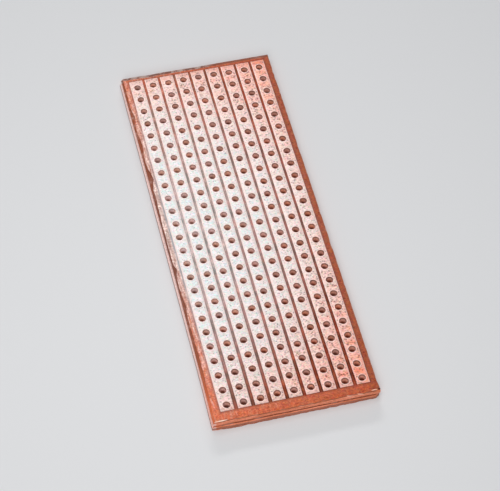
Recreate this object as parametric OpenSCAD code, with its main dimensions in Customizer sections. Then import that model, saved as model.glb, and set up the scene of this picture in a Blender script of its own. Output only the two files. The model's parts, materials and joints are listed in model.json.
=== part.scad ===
/* [Hole grid] */
// Distance between neighbouring holes, along and across the strips
pitch = 2.54; // [2:0.01:3]
// Diameter of each drilled hole
hole_d = 1; // [0.6:0.05:1.4]
// Number of copper strips, side by side
strip_count = 9; // [3:1:15]
// Number of holes drilled along each strip
holes_per_strip = 25; // [5:1:40]

/* [Copper foil] */
// Thickness of the foil
copper_t = 0.035; // [0.018:0.001:0.105]
// Bare gap etched between neighbouring strips
strip_gap = 0.45; // [0.2:0.05:0.8]
// Copper past the last hole centre at the far end
strip_end_far = 1.44; // [0.9:0.02:2]
// Copper past the first hole centre at the near end
strip_end_near = 0.94; // [0.8:0.02:2]

/* [Laminate] */
// Thickness of the bare laminate
laminate_t = 1.6; // [1.4:0.1:3.2]
// Bare border between the last strip and the right edge
border_right = 1; // [0.6:0.05:5]
// Bare border between the first strip and the left edge, at the far end
border_left_far = 1.34; // [1.2:0.02:5]
// Bare border between the first strip and the left edge, at the near end
border_left_near = 1.54; // [1.2:0.02:5]
// Bare border between the strip ends and the far edge
border_far = 0.88; // [0.5:0.02:5]
// Bare border between the strip ends and the near edge
border_near = 1.72; // [0.8:0.02:5]

/* [Broken edges] */
// Height of the lip left where the plies snapped, at the foot of each edge
lip_h = 0.55; // [0.3:0.05:0.7]
// Height of the parting groove above the lip
groove_h = 0.15; // [0.05:0.05:0.3]
// Depth of the parting groove, measured in from the lip
groove_in = 0.22; // [0.05:0.01:0.3]
// How far the lip stands out past the upper plies, on the left and near edges
lip_out = 0.1; // [0:0.01:0.2]
// Thickness of the top plies that splintered away
chip_t = 0.3; // [0.1:0.05:0.4]
// Width of the splintered band along the whole left edge
chip_band = 0.2; // [0.05:0.01:0.35]
// Distance between the points that draw a splintered edge
chip_step = 0.5; // [0.25:0.05:1]

/* [Hidden] */

// Splinters out of the top plies: [distance along the edge from the near end, reach into the
// board, half length]
splinters_left = [
    [10, 0.12, 5],
    [20.7, 0.24, 1.1],
    [27.3, 0.3, 0.8],
    [41, 0.1, 3.5],
    [45.3, 0.46, 1.7],
    [51.8, 0.25, 1.7],
    [57.9, 0.3, 0.9],
];
splinters_right = [
    [2, 0.1, 0.6],
    [26.8, 0.14, 0.5],
    [32.9, 0.14, 0.45],
    [46, 0.08, 1.2],
    [60.9, 0.12, 0.6],
    [62.4, 0.14, 0.5],
];
splinters_near = [
    [3.5, 0.08, 1.5],
    [16.2, 0.1, 0.6],
    [20, 0.12, 1.2],
    [24.6, 0.16, 0.4],
];
splinters_far = [
    [5, 0.07, 1],
    [13, 0.05, 2],
];

strip_w = pitch - strip_gap;
hole_span_x = (strip_count - 1) * pitch;
hole_span_y = (holes_per_strip - 1) * pitch;
copper_w = hole_span_x + strip_w;
copper_l = strip_end_near + hole_span_y + strip_end_far;

border_left = max(border_left_far, border_left_near);
board_w = border_left + copper_w + border_right;
board_l = border_near + copper_l + border_far;

// The board's box is centred on the origin, and it lies on z = 0
x_right = board_w / 2;
x_copper = x_right - border_right - copper_w;
y_near = -board_l / 2;
y_far = board_l / 2;
y_copper = y_near + border_near;
x_first_hole = x_copper + strip_w / 2;
y_first_hole = y_copper + strip_end_near;

z_groove = lip_h;
z_upper = lip_h + groove_h;
z_chip = laminate_t - chip_t;

// Left edge of the lip at a place along the board: it was cut a little out of square
function x_left(y) =
    let (near = x_copper - border_left_near, far = x_copper - border_left_far)
    near + (far - near) * (y - y_near) / board_l;

// The sum of a list of numbers
function sum(list) = list * [for (value = list) 1];

// How deep the splinters reach at a distance along their edge
function splintered(splinters, along) =
    sum([for (s = splinters) s[1] * exp(-pow((along - s[0]) / s[2], 2))]);

// The fine waver of torn paper, always inwards
function torn(along) =
    0.02 * (2 + sin(along * 251) + sin(along * 97 + 40));

// Places along an edge, from 0 to its length
function steps(length) =
    let (count = ceil(length / chip_step)) [for (i = [0 : count]) i * length / count];

// Outline with straight edges, set in from the lip by one amount on the left and near edges and
// by another on the other two
module straight_outline(left_and_near, right_and_far) {
    polygon([
        [x_left(y_near) + left_and_near, y_near + left_and_near],
        [x_right - right_and_far, y_near + left_and_near],
        [x_right - right_and_far, y_far - right_and_far],
        [x_left(y_far) + left_and_near, y_far - right_and_far],
    ]);
}

// Outline of the top plies: the wide splintered band on the left, small nicks on the other three
module splintered_outline() {
    function left(a) =
        x_left(y_near + a) + lip_out + chip_band + splintered(splinters_left, a) + torn(a);
    function right(a) = x_right - splintered(splinters_right, a) - torn(a + 7);
    function near(a) = y_near + lip_out + splintered(splinters_near, a) + torn(a + 13);
    function far(a) = y_far - splintered(splinters_far, a) - torn(a + 29);
    function inner(list) = [for (i = [1 : len(list) - 2]) list[i]];
    function reversed(list) = [for (i = [len(list) - 1 : -1 : 0]) list[i]];

    along_y = inner(steps(board_l));
    along_x = inner(steps(board_w));
    polygon(concat(
        [for (a = along_x) [x_right - board_w + a, near(a)]],
        [for (a = along_y) [right(a), y_near + a]],
        [for (a = reversed(along_x)) [x_right - board_w + a, far(a)]],
        [for (a = reversed(along_y)) [left(a), y_near + a]]
    ));
}

// One layer of plies between two heights
module plies(from, to) {
    translate([0, 0, from])
        linear_extrude(to - from)
            children();
}

// A row of drills along one strip, in line with its holes. Each is twice as long as the laminate
// is thick, so it runs clear of both faces of the board
module drill_row(strip) {
    for (i = [0 : holes_per_strip - 1])
        translate([x_first_hole + (strip - 1) * pitch, y_first_hole + i * pitch, laminate_t / 2])
            cylinder(h = 2 * laminate_t, d = hole_d, $fn = 32, center = true);
}

// Phenolic paper board with the lip, groove and splinters that its cutting left
module laminate() {
    color("#C0694A")
        difference() {
            union() {
                plies(0, z_groove) straight_outline(0, 0);
                plies(z_groove, z_upper) straight_outline(groove_in, groove_in - lip_out);
                plies(z_upper, z_chip) straight_outline(lip_out, 0);
                plies(z_chip, laminate_t) splintered_outline();
            }
            for (strip = [1 : strip_count])
                drill_row(strip);
        }
}

// One drilled copper strip, bonded to the top of the laminate
module copper_strip(strip) {
    color("#EFC2B0")
        difference() {
            translate([x_copper + (strip - 1) * pitch, y_copper, laminate_t])
                cube([strip_w, copper_l, copper_t]);
            drill_row(strip);
        }
}

laminate();
for (strip = [1 : strip_count])
    copper_strip(strip);
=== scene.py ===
import itertools
import json
import math
import random

import bmesh
import bpy
from bpy.props import FloatProperty, FloatVectorProperty, PointerProperty
from bpy.types import Operator, Panel, PropertyGroup
from mathutils import Matrix, Vector, noise


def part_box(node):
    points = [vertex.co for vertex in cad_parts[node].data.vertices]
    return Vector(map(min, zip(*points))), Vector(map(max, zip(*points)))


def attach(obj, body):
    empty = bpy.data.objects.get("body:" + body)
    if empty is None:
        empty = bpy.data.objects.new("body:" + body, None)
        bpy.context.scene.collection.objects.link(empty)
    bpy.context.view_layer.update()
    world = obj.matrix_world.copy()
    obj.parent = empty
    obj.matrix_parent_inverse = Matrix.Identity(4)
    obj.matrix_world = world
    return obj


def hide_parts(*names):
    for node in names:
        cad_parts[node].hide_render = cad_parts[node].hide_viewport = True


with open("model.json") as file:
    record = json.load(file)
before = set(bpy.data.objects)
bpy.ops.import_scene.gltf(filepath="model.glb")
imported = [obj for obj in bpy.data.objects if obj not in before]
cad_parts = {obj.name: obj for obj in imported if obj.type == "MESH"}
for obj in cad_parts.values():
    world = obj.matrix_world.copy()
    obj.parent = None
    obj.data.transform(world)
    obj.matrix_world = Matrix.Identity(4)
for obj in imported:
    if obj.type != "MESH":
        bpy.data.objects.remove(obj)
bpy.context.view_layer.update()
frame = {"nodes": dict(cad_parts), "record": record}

bl_info = {
    "name": "Prototype board",
    "version": (1, 0, 0),
    "blender": (4, 5, 0),
    "location": "3D View > Sidebar > Prototype board",
    "description": "Dresses a drilled stripboard in phenolic paper and etched copper foil",
    "category": "Object",
}

MM = 0.001

# The solids give the places: each foil strip's box, the laminate's box, and the two lead holes at
# opposite ends of the field of holes
STRIPS = sorted(
    (name for name in frame["nodes"] if name.startswith("copper_strip_")),
    key=lambda name: int(name.rsplit("_", 1)[1]),
)
FOIL_BOXES = [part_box(name) for name in STRIPS]
STRIP_LOW, STRIP_HIGH = FOIL_BOXES[0]
COPPER_RIGHT = FOIL_BOXES[-1][1][0]
BOARD_LOW, BOARD_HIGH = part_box("laminate")
BORES = {mount["name"]: mount for mount in frame["record"]["mounts"]}
FIRST_HOLE = Vector(BORES["lead_hole_first"]["pos_m"]).xy
LAST_HOLE = Vector(BORES["lead_hole_last"]["pos_m"]).xy
HOLE_RADIUS = BORES["lead_hole_first"]["dims"]["r_mm"] * MM
PITCH = FOIL_BOXES[1][0][0] - STRIP_LOW[0]
ROWS = round((LAST_HOLE.y - FIRST_HOLE.y) / PITCH) + 1

# Each hole sits in a square cell: its outline has this many steps a side, and the hole four times
# as many round it
SIDE_STEPS = 8
ROUND_STEPS = 4 * SIDE_STEPS
# Steps of the board's outline from each of its corners to the field of holes
CORNER_STEPS = 6
# How far each corner of the board is rubbed off, in mm
CORNER_RUB = 0.02

# Where the dice of each kind start, so that every hole has draws of its own
CENTRE_SEED, RADIUS_SEED, TEAR_SEED = 1000, 5000, 9000

# The drill pushed the foil back from each hole by this much
FOIL_CLEARANCE = 0.045 * MM
# The three middle strips were drilled too far along: by this many mm in the first row, and by
# less in each further one. The middle one of them was also drilled too far left
MIDDLE_STRIPS = (3, 4, 5)
TOO_FAR, TOO_FAR_LESS, TOO_LEFT = 0.19, 0.0045, 0.07

# The sides of the board, counter-clockwise from the near left corner, and the axis that each runs
# along
SIDES = ("near", "right", "far", "left")
SIDE_AXIS = {"near": 0, "right": 1, "far": 0, "left": 1}

# Small bites that the etchant took out of each side of a strip
BITES = 3

# Splinters out of the top plies of each side, in mm: distance along the edge from its near or left
# end, reach into the board, half length
SPLINTERS = {
    "near": ((3.5, 0.08, 1.5), (16.2, 0.1, 0.6), (20, 0.12, 1.2), (24.75, 0.24, 0.3)),
    "right": (
        (2, 0.05, 0.6),
        (26.8, 0.07, 0.5),
        (32.9, 0.07, 0.45),
        (46, 0.05, 1.2),
        (60.9, 0.06, 0.6),
        (62.4, 0.08, 0.5),
    ),
    "far": ((5, 0.07, 1), (13, 0.05, 2)),
    "left": (
        (10, 0.12, 5),
        (20.7, 0.24, 1.1),
        (27.3, 0.3, 0.8),
        (41, 0.1, 3.5),
        (45.3, 0.46, 1.7),
        (51.8, 0.25, 1.7),
        (57.9, 0.3, 0.9),
    ),
}
# Where the torn waver of each side starts in its pattern
TORN_START = {"near": 13, "right": 7, "far": 29, "left": 0}

# A hairline crack in the left border, and two pin-pricks beyond the first strip's far end, in mm:
# places across and along the board, and reaches across and along it
FACE_MARKS = (
    (-11.6, 6.4, 0.2, 0.06),
    (-10.13, 32.27, 0.08, 0.08),
    (-9.73, 32.27, 0.08, 0.08),
)

# Down the wall of a hole, in mm: how far it opens out, and how deep it lies. Torn fibres close
# it a little where the drill came out
HOLE_WALL = (
    (0.04, 0),
    (-0.03, 0.08),
    (-0.03, 0.35),
    (-0.02, 0.75),
    (-0.03, 1.2),
    (-0.07, 1.5),
    (-0.06, 1.6),
)

# Across the burr round a hole, from the hole's wall outwards: share of its width, share of its
# height, and how much painted highlight it takes
BURR = ((0.0, 0.55, 0.75), (0.2, 1.0, 0.75), (0.55, 0.6, 0.6), (1.0, 0.0, 0.2))

# Loose splinters: where each starts and ends, in mm right of the board's middle, in from the
# near edge and below the top face, then its width in mm
SLIVERS = (
    ((-12.35, 0.2, -0.04), (-10.3, 0.24, -0.04), 0.21),
    ((11.2, 0.27, -0.03), (12.1, 0.25, -0.03), 0.17),
    ((3.5, 0.06, 0.3), (4.6, 0.02, 0.55), 0.08),
    ((7.2, 0.06, 0.2), (8.8, 0.03, 0.42), 0.07),
    ((9.0, 0.14, -0.02), (10.0, 0.05, 0.18), 0.16),
    ((7.4, 0.18, -0.02), (8.3, 0.06, 0.12), 0.12),
    ((9.3, 0.05, 0.32), (10.3, 0.03, 0.25), 0.06),
)
SLIVER_STEPS, SLIVER_SIDES = 14, 8


def linear(hex_colour):
    """The linear RGBA of an sRGB colour written as #RRGGBB"""
    parts = [int(hex_colour[i : i + 2], 16) / 255 for i in (1, 3, 5)]
    return [p / 12.92 if p <= 0.04045 else ((p + 0.055) / 1.055) ** 2.4 for p in parts] + [1.0]


def length(name, description, millimetres):
    """A length property of the add-on, with its default in millimetres"""
    return FloatProperty(
        name=name, description=description, default=millimetres * MM, unit="LENGTH", precision=6
    )


def colour(name, description, hex_colour):
    """A colour property of the add-on"""
    return FloatVectorProperty(
        name=name, description=description, default=linear(hex_colour), size=4, subtype="COLOR"
    )


def angle(name, description, degrees):
    """An angle property of the add-on, with its default in degrees"""
    return FloatProperty(
        name=name, description=description, default=math.radians(degrees), subtype="ANGLE"
    )


def brightness(name, description, radiance):
    """The property for a lamp's radiance, in W/(m2 sr)"""
    return FloatProperty(name=name, description=description, default=radiance)


class EdgeSizes(PropertyGroup):
    """How the shears and the snapped plies left the edges of the board"""

    skew: length("Skew", "How much narrower the board is at its far end", 0.2)
    lip_height: length("Lip height", "Height of the lip at the foot of each edge", 0.55)
    lip_out: length("Lip reach", "How far the lip stands out on the left and near edges", 0.1)
    groove_height: length("Groove height", "Height of the parting groove above the lip", 0.15)
    groove_depth: length("Groove depth", "Depth of the parting groove, in from the lip", 0.22)
    chip_depth: length("Chip depth", "Thickness of the top plies that splintered away", 0.3)
    chip_band: length("Chip band", "Width of the splintered band along the left edge", 0.3)
    roughness: length("Roughness", "How far the torn fibres stand in or out", 0.03)
    rubbed: length("Rubbed back", "How far the upper plies of the left edge are worn", 0.1)
    burr: length("Foot burr", "How far the shear dragged the foot of the edge out", 0.07)
    near_burr: length("Near foot burr", "The same at the near edge, left", 0.4)
    knock: length("Corner knock", "How much of the lip is gone at the near right corner", 0.35)
    flare: length("Flare", "How far the near corners stand out", 0.13)
    far_bevel: length("Far bevel", "Width of the worn bevel along the far edge", 0.48)
    far_drop: length("Far drop", "How far the bevel drops at the far edge", 0.04)
    far_out: length("Far bulge", "How far the top plies of the far edge stand out", 0.07)


class DrillSizes(PropertyGroup):
    """How the drill left the holes"""

    wander: length("Wander", "How far a hole may sit off its place", 0.045)
    ragged: length("Raggedness", "How far a hole's wall departs from round", 0.02)
    burr_height: length("Burr height", "How far the foil is raised round a hole", 0.016)
    burr_width: length("Burr width", "Width of the raised ring round a hole", 0.17)
    foil_waver: length("Etching waver", "How far a strip's etched side wanders", 0.012)
    foil_foot: length("Foil foot", "Foil that the etchant left along a strip's left side", 0.06)


class LaminateFinish(PropertyGroup):
    """Colours of the phenolic paper laminate"""

    face_left: colour("Face, left", "Resin colour of the face at the left edge", "#D87049")
    face_right: colour("Face, right", "Resin colour of the face near the right edge", "#B4502B")
    face_rim: colour("Face, right rim", "Resin colour along the right edge", "#A04824")
    # Painted sheen on the face's left middle; on the torn plies the same colour lies in patches of
    # dust
    sheen_and_dust: colour("Scoured face", "Face where an abrasive pad has left it pale", "#E8C8BE")
    # Painted shade beside the foil, in the ring at a hole's top and in the corner notch; it is also
    # the dark of the crack and the pin-pricks
    shade_and_dark_marks: colour("Etch residue", "Dark line that etching leaves beside the foil", "#561404")
    # Painted shade beside the foil, at the left edge
    foil_edge_shade_left: colour("Etch residue, left", "The same at the left edge", "#80341A")
    ply: colour("Sheared ply", "Cut paper plies of the edges", "#FF9E7E")
    ply_dark: colour("Sheared ply, resin", "Resin-rich plies of the edges", "#D67850")
    torn: colour("Torn ply", "Dark plies that the splinters laid bare", "#A35A3F")
    grit: colour("Grit", "Grey grit on the far edge", "#C0ACA4")
    # Painted shade at the foot of the lip; the torn plies are greyed with the same colour
    grey_and_shade: colour("Grime", "Torn plies greyed by handling", "#7C5248")
    bore: colour("Drilled wall", "Wall of a drilled hole", "#FFD2C4")
    # Painted light on the plies of the left edge
    ply_lit_left: colour("Sheared ply, rubbed", "Plies of the left edge, rubbed pale", "#FDDDD6")
    # Painted sheen: the pale grey of the shade line beside the foil inside the painted highlight
    gap_sheen: colour("Pad dust", "Pale dust that the pad left beside the foil", "#A6A8AE")
    # Painted shade deep in a hole
    bore_shade: colour("Drilled wall, deep", "The dark lower part of a drilled hole", "#B4745E")
    # Painted highlight: the near-white of the splinters where they catch the light
    fibre_highlight: colour("Raised fibre", "Pale splinters of clean paper", "#FFE4D0")
    underside: colour("Underside", "Bare face of the board, away from the foil", "#C4683E")


class FoilFinish(PropertyGroup):
    """Colours of the copper foil"""

    # Painted highlight: the near-white that stands in for the softbox's reflection on the foil's
    # left middle
    bright: colour("Scoured copper", "Foil that an abrasive pad has scoured bright", "#E1E6E3")
    tarnished: colour("Tarnished copper", "Foil with its thin warm oxide", "#FF8244")
    # Painted highlight on the burrs and the strips' etched sides
    lip: colour("Lip", "Clean copper of burrs and etched edges", "#FFE4DC")
    pit: colour("Pit", "Oxide in the pits of the tarnished foil", "#80503F")


class StudioSizes(PropertyGroup):
    """Camera, floor and lamps"""

    aim: FloatVectorProperty(
        name="Aim",
        description="Point on the board that the camera looks at",
        default=(0.26 * MM, -3.771 * MM, 1.677 * MM),
        subtype="TRANSLATION",
        unit="LENGTH",
        precision=6,
    )
    azimuth: angle("Azimuth", "Turn of the camera round the board; 0 looks along +Y", -16.607)
    elevation: angle("Elevation", "Height of the camera above the horizon", 54.640)
    roll: angle("Roll", "Turn of the camera about its own line of sight", 3.076)
    distance: length("Distance", "From the camera to its aim", 291.92)
    lens: FloatProperty(
        name="Lens", description="Focal length in mm on a 36 mm sensor", default=137.53
    )
    floor: colour("Floor", "Pale matt paper under the board", "#E2E3E5")
    floor_far: colour("Floor, far", "The same paper where it turns from the light", "#CACBCD")
    sky: FloatProperty(name="Sky", description="Strength of the light from all round", default=0.3)
    key: brightness("Key", "Radiance of the wide lamp overhead", 1.8)
    fill: brightness("Fill", "Radiance of the lamp before the near edge", 5.2)
    low: brightness("Low light", "Radiance of the low lamp behind the board", 30)
    softbox: brightness("Softbox", "Radiance of the softbox behind the board", 3.2)


# ---------------------------------------------------------------------------------------------
# Nodes and materials

WHITE = (1, 1, 1, 1)


def add_node(tree, kind, *values, out=None, **named):
    """Adds a node and returns the output that is wanted. Values, or other nodes' outputs, fill
    its sockets in the order in which the node shows them. A name with a capital is a socket too,
    with _ for a space, and any other name is a setting of the node"""
    node = tree.nodes.new("ShaderNode" + kind)
    for name, value in named.items():
        if name[0].islower():
            setattr(node, name, value)
    filled = list(zip([socket for socket in node.inputs if socket.enabled], values))
    for name, value in named.items():
        if name[0].isupper():
            filled.append((node.inputs[name.replace("_", " ")], value))
    for socket, value in filled:
        if isinstance(value, bpy.types.NodeSocket):
            tree.links.new(value, socket)
        else:
            socket.default_value = value
    if out:
        return node.outputs[out]
    return next((o for o in node.outputs if o.enabled), node)


def new_material(name):
    """An empty node material, its tree, and the piece's own coordinates in metres"""
    material = bpy.data.materials.new(name)
    material.use_nodes = True
    material.node_tree.nodes.clear()
    place = add_node(material.node_tree, "TexCoord", out="Object")
    return material, material.node_tree, place


def surface(tree, **sockets):
    """Ends a material in a Principled shader"""
    add_node(tree, "OutputMaterial", add_node(tree, "BsdfPrincipled", **sockets))


def off_centre(tree, place, centre, reach, turn=0.0):
    """How far a place lies from a centre: 0 there, and 1 at its reach each way. Both are in mm,
    and height doesn't count where they leave it out"""
    centre, reach = (*centre, 0)[:3], (*reach, 1 / MM)[:3]
    local = add_node(
        tree,
        "Mapping",
        place,
        [part * MM for part in centre],
        (0, 0, math.radians(turn)),
        [part * MM for part in reach],
        vector_type="TEXTURE",
    )
    return add_node(tree, "VectorMath", local, operation="LENGTH")


def stretched_noise(tree, place, size, detail, distortion=0.0):
    """Noise in tufts of this size, in mm along each axis; without a third, one pattern goes
    right through"""
    scale = [*(1 / (part * MM) for part in size), 1][:3]
    squeezed = add_node(tree, "Mapping", place, Scale=scale)
    return add_node(tree, "TexNoise", squeezed, 1.0, detail, Distortion=distortion)


def painted(tree, base, paint, value, start, end, most=1.0, **settings):
    """A colour under another: none of the paint lies where a value is at its start, and the most
    of it where the value is at its end"""
    share = add_node(tree, "MapRange", value, start, end, 0.0, most, **settings)
    return add_node(tree, "Mix", share, base, paint, data_type="RGBA")


def tinted(tree, base, share, first, second):
    """A colour multiplied by a tint that runs from the first to the second with the share"""
    tint = add_node(tree, "Mix", share, first, second, data_type="RGBA")
    return add_node(tree, "VectorMath", base, tint, operation="MULTIPLY")


def shaded(tree, base, value, start, end, low, high):
    """A colour made lighter or darker: low times where a value is at its start, high at its end"""
    tone = add_node(tree, "MapRange", value, start, end, low, high)
    return add_node(tree, "VectorMath", base, tone, operation="SCALE")


def mottled(tree, place, base, grain, amount):
    """A colour whose hue wanders a little in patches this many mm across"""
    hues = add_node(tree, "TexNoise", place, 1 / (grain * MM), 1.0, out="Color")
    return add_node(tree, "Mix", amount, base, hues, data_type="RGBA", blend_type="LINEAR_LIGHT")


def away_from_highlight(tree, place):
    """How far a place lies from the middle of the painted highlight, on the left side: 0 there,
    and 1 where the oxide is whole"""
    return off_centre(tree, place, (-12.3, -1.5), (36.5, 48), -13.5)


def off_strip_middle(tree, x):
    """How far a place lies, across the board, from the middle line of the nearest strip"""
    first_middle = (STRIP_LOW[0] + STRIP_HIGH[0]) / 2
    from_first = add_node(tree, "Math", x, first_middle, operation="SUBTRACT")
    strips_away = add_node(tree, "Math", from_first, PITCH, operation="DIVIDE")
    nearest = add_node(tree, "Math", strips_away, operation="ROUND")
    on_board = add_node(tree, "Clamp", nearest, 0.0, len(STRIPS) - 1.0)
    middle = add_node(tree, "Math", on_board, PITCH, operation="MULTIPLY")
    off = add_node(tree, "Math", from_first, middle, operation="SUBTRACT")
    return add_node(tree, "Math", off, operation="ABSOLUTE")


def notch_shade(tree, place, base, finish):
    """A colour with painted shade in the notch that a knock left at the top of the near right
    corner
    """
    off = off_centre(tree, place, (12.4, -32.68, BOARD_HIGH[2] / MM), (0.21, 0.2, 0.3))
    return painted(tree, base, finish.shade_and_dark_marks, off, 1.1, 0.8, 0.9)


def outside_foil_highlight(tree, place, axes):
    """How far a place lies outside the painted highlight, where the foil keeps its oxide, from 0 to
    1
    """
    # Cloudy patches about 1.8 mm across make the edge of the painted highlight uneven
    clouds = add_node(tree, "TexNoise", place, 1 / (1.8 * MM), 3.0)
    uneven = add_node(tree, "MapRange", clouds, 0.3, 0.7, -0.05, 0.05)
    reach = add_node(tree, "Math", away_from_highlight(tree, place), uneven, operation="ADD")
    # The painted highlight stops short of the last millimetre at both ends: at the far end
    # mostly on the right, and at the near one only on the left
    near_end, far_end = STRIP_LOW[1], STRIP_HIGH[1]
    for start, end, left, right, right_from in (
        (far_end - 1.1 * MM, far_end - 0.3 * MM, 0.04, 0.15, BOARD_HIGH[0]),
        (near_end + 1.1 * MM, near_end + 0.3 * MM, 0.15, -0.03, 0.0),
    ):
        most = add_node(tree, "MapRange", axes["X"], BOARD_LOW[0], right_from, left, right)
        missed = add_node(tree, "MapRange", axes["Y"], start, end, 0.0, most)
        reach = add_node(tree, "Math", reach, missed, operation="ADD")
    return add_node(tree, "Math", reach, 3.5, operation="POWER", use_clamp=True)


def stroked(tree, place, base, oxidised):
    """A colour with the pad's strokes, which crossed the strips: ridges 0.2 mm apart and about
    0.4 mm long, with hollows between them that show darker where oxide is left"""
    strokes = stretched_noise(tree, place, (0.4, 0.2), 2.0, 0.6)
    clean_hollow, brown_hollow = (0.86, 0.86, 0.86, 1), (0.66, 0.51, 0.5, 1)
    hollow = add_node(tree, "Mix", oxidised, clean_hollow, brown_hollow, data_type="RGBA")
    on_ridge = add_node(tree, "MapRange", strokes, 0.3, 0.62)
    return tinted(tree, base, on_ridge, hollow, (1.13, 1.13, 1.13, 1))


def pitted(tree, place, base, oxide, oxidised, finish):
    """A colour with the foil's pits: up to 0.2 mm across, one in each 0.38 mm cell at most, in
    drifts about 1.2 mm across, and larger and browner where oxide is left"""
    pit_field = add_node(tree, "TexVoronoi", place, 1 / (0.38 * MM), out="Distance")
    drifts = add_node(tree, "TexNoise", place, 1 / (1.2 * MM), 1.0)
    gate = add_node(tree, "MapRange", drifts, 0.34, 0.5)
    pit_size = add_node(tree, "MapRange", oxide, 0.0, 0.25, 0.27, 0.52)
    pit_depth = add_node(tree, "MapRange", pit_field, pit_size, 0.12)
    pit = add_node(tree, "Math", pit_depth, gate, operation="MULTIPLY")
    grey_pit = (0.5, 0.5, 0.55, 1)
    pit_colour = add_node(tree, "Mix", oxidised, grey_pit, finish.pit, data_type="RGBA")
    return tinted(tree, base, pit, WHITE, pit_colour)


def etched_copper_foil(finish):
    """Rolled copper foil, etched into strips and stroked by an abrasive pad: a satin metal, warm
    where a thin oxide is left, with a painted highlight that makes it almost white on the left
    middle"""
    material, tree, place = new_material("etched_copper_foil")
    axes = add_node(tree, "SeparateXYZ", place).node.outputs
    oxide = outside_foil_highlight(tree, place, axes)
    # Painted highlight on the left middle, and the foil's warm oxide colour outside it
    base = add_node(tree, "Mix", oxide, finish.bright, finish.tarnished, data_type="RGBA")
    # The thin oxide is straw-coloured
    thin = add_node(tree, "MapRange", oxide, 0.0, 0.3)
    film = tinted(tree, base, thin, WHITE, (1.09, 1.02, 0.97, 1))
    # The grain of the foil shows as speckles about 0.25 mm across, some rosier and some bluer
    grain = add_node(tree, "TexNoise", place, 1 / (0.25 * MM), 2.0, 0.7)
    bluer = add_node(tree, "MapRange", grain, 0.3, 0.7)
    speckled = tinted(tree, film, bluer, (1.17, 0.89, 0.95, 1), (0.86, 1.09, 1.07, 1))
    # Its hollows and pits turn brown as the oxide grows
    oxidised = add_node(tree, "MapRange", oxide, 0.0, 0.4)
    ridged = stroked(tree, place, speckled, oxidised)
    aged = pitted(tree, place, ridged, oxide, oxidised, finish)
    varied = mottled(tree, place, aged, 0.3, 0.11)
    # Painted highlight on the burrs, and on the strips' sides over the last 0.25 mm
    lip = add_node(tree, "Attribute", out="Fac", attribute_name="lip")
    half = (STRIP_HIGH[0] - STRIP_LOW[0]) / 2
    off_middle = off_strip_middle(tree, axes["X"])
    side = add_node(tree, "MapRange", off_middle, half - 0.3 * MM, half - 0.05 * MM, 0.0, 0.7)
    clean = add_node(tree, "Math", lip, side, operation="MAXIMUM")
    worn = add_node(tree, "Mix", clean, varied, finish.lip, data_type="RGBA")
    rough = add_node(tree, "MapRange", grain, 0.3, 0.7, 0.42, 0.62)
    bump = add_node(tree, "Bump", Height=grain, Strength=0.6, Distance=0.004 * MM)
    surface(tree, Base_Color=worn, Metallic=1.0, Roughness=rough, Normal=bump)
    return material


def clouded_resin(tree, place, x, across, finish):
    """The colour of the resin face, with the clouds of its paper"""
    wide = add_node(tree, "Mix", across, finish.face_left, finish.face_right, data_type="RGBA")
    # The last 1 mm before the right edge is darker
    resin = painted(
        tree,
        wide,
        finish.face_rim,
        x,
        BOARD_HIGH[0] - 1.7 * MM,
        BOARD_HIGH[0] - 0.9 * MM,
        interpolation_type="SMOOTHSTEP",
    )
    # The paper lies in clouds of about 0.7 mm, from tan ones to redder ones
    clouds = add_node(tree, "TexNoise", place, 1 / (0.7 * MM), 3.0, 0.65)
    redder = add_node(tree, "MapRange", clouds, 0.3, 0.7)
    return tinted(tree, resin, redder, (0.92, 1.16, 1.3, 1), (1.09, 0.84, 0.7, 1))


def painted_sheen(tree, place, base, finish):
    """A colour with a painted sheen on the middle of the left side, in smears 0.3 mm wide and 1.8
    mm long, along the board"""
    away = off_centre(tree, place, (-12.5, 3), (23, 37))
    streaks = stretched_noise(tree, place, (0.3, 1.8), 3.0, 0.7)
    uneven = add_node(tree, "MapRange", streaks, 0.3, 0.7, -0.25, 0.25)
    off_sheen = add_node(tree, "Math", away, uneven, operation="ADD")
    sheen = shaded(tree, finish.sheen_and_dust[:3], streaks, 0.35, 0.65, 1.25, 0.5)
    return painted(tree, base, sheen, off_sheen, 1.0, 0.0, interpolation_type="SMOOTHSTEP")


def tufted(tree, base, fibres, across):
    """A colour with tufts of fibres that are paler where their paper is bare, and show more on
    the right"""
    resin_tuft, bare_tuft = [
        add_node(tree, "Mix", across, left, right, data_type="RGBA")
        for left, right in (
            ((0.7, 0.54, 0.54, 1), (0.63, 0.36, 0.36, 1)),
            ((1.3, 1.47, 1.47, 1), (1.38, 1.7, 1.7, 1)),
        )
    ]
    bare = add_node(tree, "MapRange", fibres, 0.3, 0.7)
    return tinted(tree, base, bare, resin_tuft, bare_tuft)


def past_strips(tree, axes):
    """How far a place lies past the nearest foil, and how far past the field of strips"""
    past_side, past_near, past_far, past_first, past_last = [
        add_node(tree, "Math", a, b, operation="SUBTRACT")
        for a, b in (
            (off_strip_middle(tree, axes["X"]), (STRIP_HIGH[0] - STRIP_LOW[0]) / 2),
            (STRIP_LOW[1], axes["Y"]),
            (axes["Y"], STRIP_HIGH[1]),
            (STRIP_LOW[0], axes["X"]),
            (axes["X"], COPPER_RIGHT),
        )
    ]
    past_end = add_node(tree, "Math", past_near, past_far, operation="MAXIMUM")
    past_field = add_node(tree, "Math", past_first, past_last, operation="MAXIMUM")
    past_foil = add_node(tree, "Math", past_end, past_side, operation="MAXIMUM")
    in_border = add_node(tree, "Math", past_end, past_field, operation="MAXIMUM")
    return past_foil, in_border


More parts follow.
